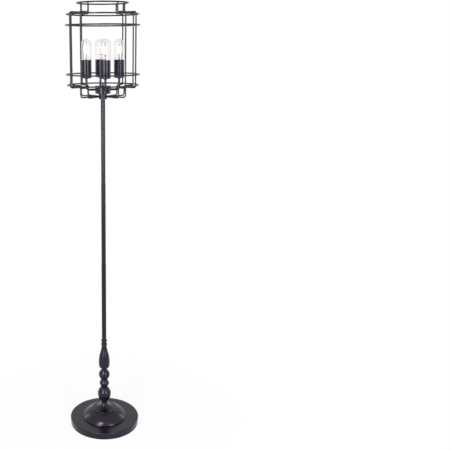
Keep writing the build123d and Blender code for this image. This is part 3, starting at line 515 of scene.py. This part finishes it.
def bulb_glass(side):
    """Blown envelope with the flared stem inside it, pinched flat round the leads at the top."""
    sides = 96
    pinch_start, pinch_length, pinch_depth = STEM_PINCH_BASE - 3, 4, 0.5
    shape = Shape()
    shape.add(*lathe(envelope_profile(0), sides))
    inside, faces = lathe(envelope_profile(GLASS_WALL), sides)
    first_inside = len(shape.points)
    shape.add(inside, [face[::-1] for face in faces])
    rim = [(first_inside + at, first_inside + after, after, at) for at, after in around(sides)]
    shape.faces += rim
    shape.finishes += [0] * len(rim)

    points, faces = lathe(stem_profile(), 32)
    pinched = []
    for x, y, z in points:
        share = min(max((z - pinch_start) / pinch_length, 0), 1)
        flat = 1 - pinch_depth * share * share * (3 - 2 * share)
        pinched.append((x, y * flat, z))
    shape.add(pinched, faces)
    return shape.piece(f"glass_{side}", GLASS_FINISHES, at_socket(side))


def bulb_filaments(side):
    """Four lit filaments with crimped tabs on thin spokes, leads in the stem, a loop on top."""
    lit, support, lead = range(3)                  # places in FILAMENT_FINISHES
    steps = 8
    shape = Shape()
    hub_low, hub_high = (0, 0, STEM_TOP), (0, 0, FILAMENT_HUB)
    lit_low, lit_high = FILAMENT_BOTTOM + TAB_LENGTH, FILAMENT_TOP - TAB_LENGTH
    box_faces = [(3, 2, 1, 0), (4, 5, 6, 7), (0, 1, 5, 4), (1, 2, 6, 5), (2, 3, 7, 6), (3, 0, 4, 7)]
    for turn in (math.radians(90 * quarter) for quarter in range(4)):
        out = Vector((math.cos(turn), math.sin(turn), 0))
        across = Vector((-math.sin(turn), math.cos(turn), 0))
        foot = out * FILAMENT_CIRCLE
        rise = (lit_high - lit_low) / steps
        strip = [foot + Vector((0, 0, lit_low + rise * step)) for step in range(steps + 1)]
        shape.add(*bar(strip, FILAMENT_RADIUS, 14), finish=lit)
        for low, high in ((FILAMENT_BOTTOM, lit_low), (lit_high, FILAMENT_TOP)):
            corners = [foot + across * a * TAB_HALF_WIDTH + out * b * TAB_HALF_THICKNESS
                       + Vector((0, 0, z))
                       for z in (low, high) for a, b in ((-1, -1), (1, -1), (1, 1), (-1, 1))]
            shape.add([tuple(corner) for corner in corners], box_faces, finish=support)
        rising = 0.9 * out + Vector((0, 0, 0.5))
        for hub, height, leave, arrive in (
                (hub_low, FILAMENT_BOTTOM + SUPPORT_OVERLAP, rising, (0, 0, 1)),
                (hub_high, FILAMENT_TOP - SUPPORT_OVERLAP, out, (0, 0, -1))):
            end = foot + Vector((0, 0, height))
            spoke = [hub] + curve(hub, tuple(end), tuple(leave), arrive, steps)
            shape.add(*bar(spoke, SUPPORT_RADIUS, 8), finish=support)

    mast_top = HOOK_CENTRE - HOOK_RADIUS
    mast = [(0, 0, height) for height in (STEM_TOP, *MAST_POINTS, mast_top)]
    shape.add(*bar(mast, SUPPORT_RADIUS, 10), finish=support)
    loop = [(HOOK_RADIUS * math.sin(turn), 0, HOOK_CENTRE - HOOK_RADIUS * math.cos(turn))
            for turn in (math.radians(15 * step) for step in range(24))]
    shape.add(*bar(loop, SUPPORT_RADIUS, 10, closed=True), finish=support)
    for offset in (-LEAD_OFFSET, LEAD_OFFSET):
        path = [(offset, 0, CAP_RIM - 6), (offset, 0, CAP_RIM + 4),
                (0.9 * offset, 0, STEM_PINCH_BASE), (0.5 * offset, 0, STEM_TOP - 0.8)]
        shape.add(*bar(path, LEAD_RADIUS, 10), finish=lead)
    return shape.piece(f"filaments_{side}", FILAMENT_FINISHES, at_socket(side))


def bulb_cap(side):
    """Rolled-thread cap with its dark insulator and solder button."""
    nickel, glass, solder = range(3)               # places in CAP_FINISHES
    sides, rows_per_turn = 72, 14
    shape = Shape()
    rise = CAP_THREAD_PITCH / rows_per_turn
    rows = int((CAP_THREAD_TOP - CAP_THREAD_BASE) / rise)
    heights = [CAP_THREAD_BASE + rise * row for row in range(rows + 1)]
    heights += [CAP_THREAD_TOP + CAP_THREAD_LIP, CAP_RIM]
    points, faces = [], []
    for height in heights:
        fade = min(1, max(0, (height - CAP_THREAD_BASE) / CAP_THREAD_RUNOUT),
                   max(0, (CAP_THREAD_TOP - height) / CAP_THREAD_RUNOUT))
        for step in range(sides):
            share = step / sides
            phase = (height - CAP_THREAD_BASE) / CAP_THREAD_PITCH - share
            swell = 0.5 - 0.5 * math.cos(2 * math.pi * phase)
            radius = CAP_ROOT_RADIUS + (CAP_CREST_RADIUS - CAP_ROOT_RADIUS) * swell * fade
            turn = 2 * math.pi * share
            points.append((radius * math.cos(turn), radius * math.sin(turn), height))
    for row in range(len(heights) - 1):
        low, high = row * sides, (row + 1) * sides
        faces += [(low + at, low + after, high + after, high + at) for at, after in around(sides)]
    shape.add(points, faces, finish=nickel)

    inner, floor = CAP_ROOT_RADIUS - CAP_SHEET, CAP_THREAD_BASE + 2
    shape.add(*lathe([(CAP_ROOT_RADIUS, CAP_RIM), (inner, CAP_RIM), (inner, floor), (0, floor)],
                     sides), finish=nickel)
    edge_radius, edge_depth = INSULATOR_EDGE
    insulator = [(radius, CAP_BASE + height) for radius, height in INSULATOR]
    insulator += [(edge_radius, CAP_THREAD_BASE - edge_depth), (CAP_ROOT_RADIUS, CAP_THREAD_BASE)]
    shape.add(*lathe(insulator, sides), finish=glass)
    button = [(radius, CAP_BASE + height) for radius, height in SOLDER_BUTTON]
    shape.add(*lathe(button, 48), finish=solder)
    return shape.piece(f"cap_{side}", CAP_FINISHES, at_socket(side))


for place in SOCKETS:
    for made, cad_node, slot in (
            (bulb_glass(place), f"bulb_glass_{place}", "clear_glass"),
            (bulb_filaments(place), f"bulb_filaments_{place}", "filament"),
            (bulb_cap(place), f"bulb_cap_{place}", "nickel_cap")):
        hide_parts(cad_node)
        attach(made, f"bulb_{place}")


# ---------------------------------------------------------------- welds of the cage
def weld_bead(radius, height, angle, reach):
    """Small smooth bead between two crossing wires, centred at radius and height."""
    ball = [(0, -1)]
    ball += [(math.cos(turn), math.sin(turn)) for turn in map(math.radians, (-60, -30, 0, 30, 60))]
    points, faces = lathe(ball + [(0, 1)], 16)
    turn = Matrix.Rotation(math.radians(angle), 4, "Z")
    return [tuple(turn @ Vector((radius + reach[0] * x, reach[1] * y, height + reach[2] * z)))
            for x, y, z in points], faces


def weld_fillet(radius, height, angle, upright):
    """Fillet round a wire where it runs into another piece; it widens towards that piece."""
    outline = [(WIRE_RADIUS + out, along) for out, along in FILLET_OUTLINE]
    points, faces = lathe(outline, 20)
    place = Matrix.Rotation(math.radians(angle), 4, "Z") @ Matrix.Translation((radius, 0, height))
    tip = Matrix.Rotation(math.pi, 4, "X") if upright else Matrix.Rotation(math.pi / 2, 4, "Y")
    return [tuple(place @ tip @ Vector(point)) for point in points], faces


def cage_welds():
    """Every weld of the cage: at the five rings, and where the low wires run into the collar."""
    shape = Shape()
    lying, standing = (BEAD_LONG, BEAD_LONG, BEAD_THIN), (BEAD_THIN, BEAD_LONG, BEAD_LONG)
    for angle in WIRE_ANGLES:
        for height in NARROW_RING_WELDS:
            shape.add(*weld_bead(NARROW_RING_RADIUS, height, angle, lying))
        for height in WIDE_RING_WELDS:
            shape.add(*weld_bead(WIDE_RING_WELD_RADIUS, height, angle, standing))
        shape.add(*weld_fillet(TOP_RING_RADIUS, TOP_RING_WELD, angle, upright=True))
        shape.add(*weld_fillet(COLLAR_RADIUS - FILLET_SINK, LOW_WIRE_AXIS, angle, upright=False))
    return shape.piece("cage_welds", WELD_FINISHES)


welds = cage_welds()
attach(welds, "stand")


# ---------------------------------------------------------------- stage, in metres
FLOOR_REACH = 9.0
FLOOR_PAINT = (0.9, 0.9, 0.9, 1)
WHITE = (1, 1, 1, 1)
WORLD_LIGHT = 0.2              # the world's strength as a light; what is seen of it has strength 1
SHADOW_SHARE = 0.93            # how much of the floor is plain white where the shadow falls
SHADOW_REACH = (0.2, 0.7)      # from the lamp's axis: here the floor turns to plain white


def shown_rays(tree):
    """1 for rays that see the background: from the camera, in reflections and through glass."""
    path = node(tree, "LightPath").outputs
    first = node(tree, "Math", {
        0: path["Is Camera Ray"], 1: path["Is Glossy Ray"]}, operation="MAXIMUM").outputs[0]
    return node(tree, "Math", {
        0: first, 1: path["Is Transmission Ray"]}, operation="MAXIMUM").outputs[0]


def white_world():
    """White background that lights the lamp only softly."""
    world = bpy.data.worlds.new("white_studio")
    bpy.context.scene.world = world
    tree = empty_tree(world)
    level = node(tree, "MapRange", {
        "Value": shown_rays(tree), "To Min": WORLD_LIGHT, "To Max": 1.0}).outputs[0]
    background = node(tree, "Background", {"Color": WHITE, "Strength": level})
    node(tree, "OutputWorld", {"Surface": background.outputs[0]})


def studio_floor():
    """White floor, mostly of its own light, so that only a soft shadow shows near the base."""
    mesh = bpy.data.meshes.new("studio_floor")
    corners = [(x * FLOOR_REACH, y * FLOOR_REACH, 0)
               for x, y in ((-1, -1), (1, -1), (1, 1), (-1, 1))]
    mesh.from_pydata(corners, [], [(0, 1, 2, 3)])
    floor = add_object("studio_floor", mesh)
    material = bpy.data.materials.new("white_floor")
    tree = empty_tree(material)
    painted = node(tree, "BsdfDiffuse", {"Color": FLOOR_PAINT}).outputs[0]
    white = node(tree, "Emission", {"Color": WHITE, "Strength": 1.0}).outputs[0]
    place = node(tree, "NewGeometry").outputs["Position"]
    reach = node(tree, "VectorMath", {0: place}, operation="LENGTH").outputs["Value"]
    plain = node(tree, "MapRange", {
        "Value": reach, "From Min": SHADOW_REACH[0], "From Max": SHADOW_REACH[1],
        "To Min": SHADOW_SHARE, "To Max": 1.0}, interpolation_type="SMOOTHSTEP").outputs[0]
    share = node(tree, "Math", {0: plain, 1: shown_rays(tree)}, operation="MULTIPLY").outputs[0]
    mixed = node(tree, "MixShader", {0: share, 1: painted, 2: white}).outputs[0]
    node(tree, "OutputMaterial", {"Surface": mixed})
    mesh.materials.append(material)


def soft_box(name, bearing, distance, height, aim_height, size, power):
    """Soft box that faces the lamp's axis at a height.

    Its bearing is in degrees from the camera's side of the lamp, towards +X.
    """
    light = bpy.data.lights.new(name, "AREA")
    light.shape = "RECTANGLE"
    light.size, light.size_y = size
    light.energy = power
    box = add_object(name, light)
    angle = math.radians(bearing - 90)
    box.location = (distance * math.cos(angle), distance * math.sin(angle), height)
    aim = Vector((0, 0, aim_height)) - box.location
    box.rotation_euler = aim.to_track_quat("-Z", "Y").to_euler()
    box.visible_camera = False
    box.visible_transmission = False


white_world()
studio_floor()
for box in (
        # name, bearing, distance, height, height that it faces, (width, height), watts
        ("key_left", -29, 2.5, 1.1, 1.1, (0.6, 1.3), 42),
        ("key_right", 33, 2.5, 1.1, 1.1, (0.55, 1.3), 32),
        ("rim_left", -121, 2.5, 1.1, 1.1, (0.4, 1.5), 7),
        ("rim_right", 118, 2.5, 1.1, 1.1, (0.4, 1.5), 7),
        ("high_front", -24, 1.8, 1.95, 0.2, (0.45, 0.3), 28)):
    soft_box(*box)


# ---------------------------------------------------------------- camera
CAMERA_BEARING = 0.85          # degrees to the left of the front
CAMERA_DISTANCE = 2.3074       # from the lamp's axis
CAMERA_HEIGHT = 1.4204
CAMERA_TILT = 15.25            # degrees down
CAMERA_ROLL = -0.28            # degrees
SENSOR_WIDTH = 36
LENS = 53.31
SHIFT_X = 0.2699               # the lamp stands in the left part of the photograph


def photo_camera():
    """Seen from a little left of the front, level with the bulbs' tips and tilted down."""
    data = bpy.data.cameras.new("photo_camera")
    data.sensor_width = SENSOR_WIDTH
    data.lens = LENS
    data.shift_x = SHIFT_X
    camera = add_object("photo_camera", data)
    bearing = math.radians(CAMERA_BEARING)
    camera.location = (
        -CAMERA_DISTANCE * math.sin(bearing), -CAMERA_DISTANCE * math.cos(bearing), CAMERA_HEIGHT)
    turn = (Matrix.Rotation(-bearing, 4, "Z")
            @ Matrix.Rotation(math.radians(90 - CAMERA_TILT), 4, "X")
            @ Matrix.Rotation(math.radians(CAMERA_ROLL), 4, "Z"))
    camera.rotation_euler = turn.to_euler()
    bpy.context.scene.camera = camera


photo_camera()
bpy.context.scene.view_settings.view_transform = "Standard"
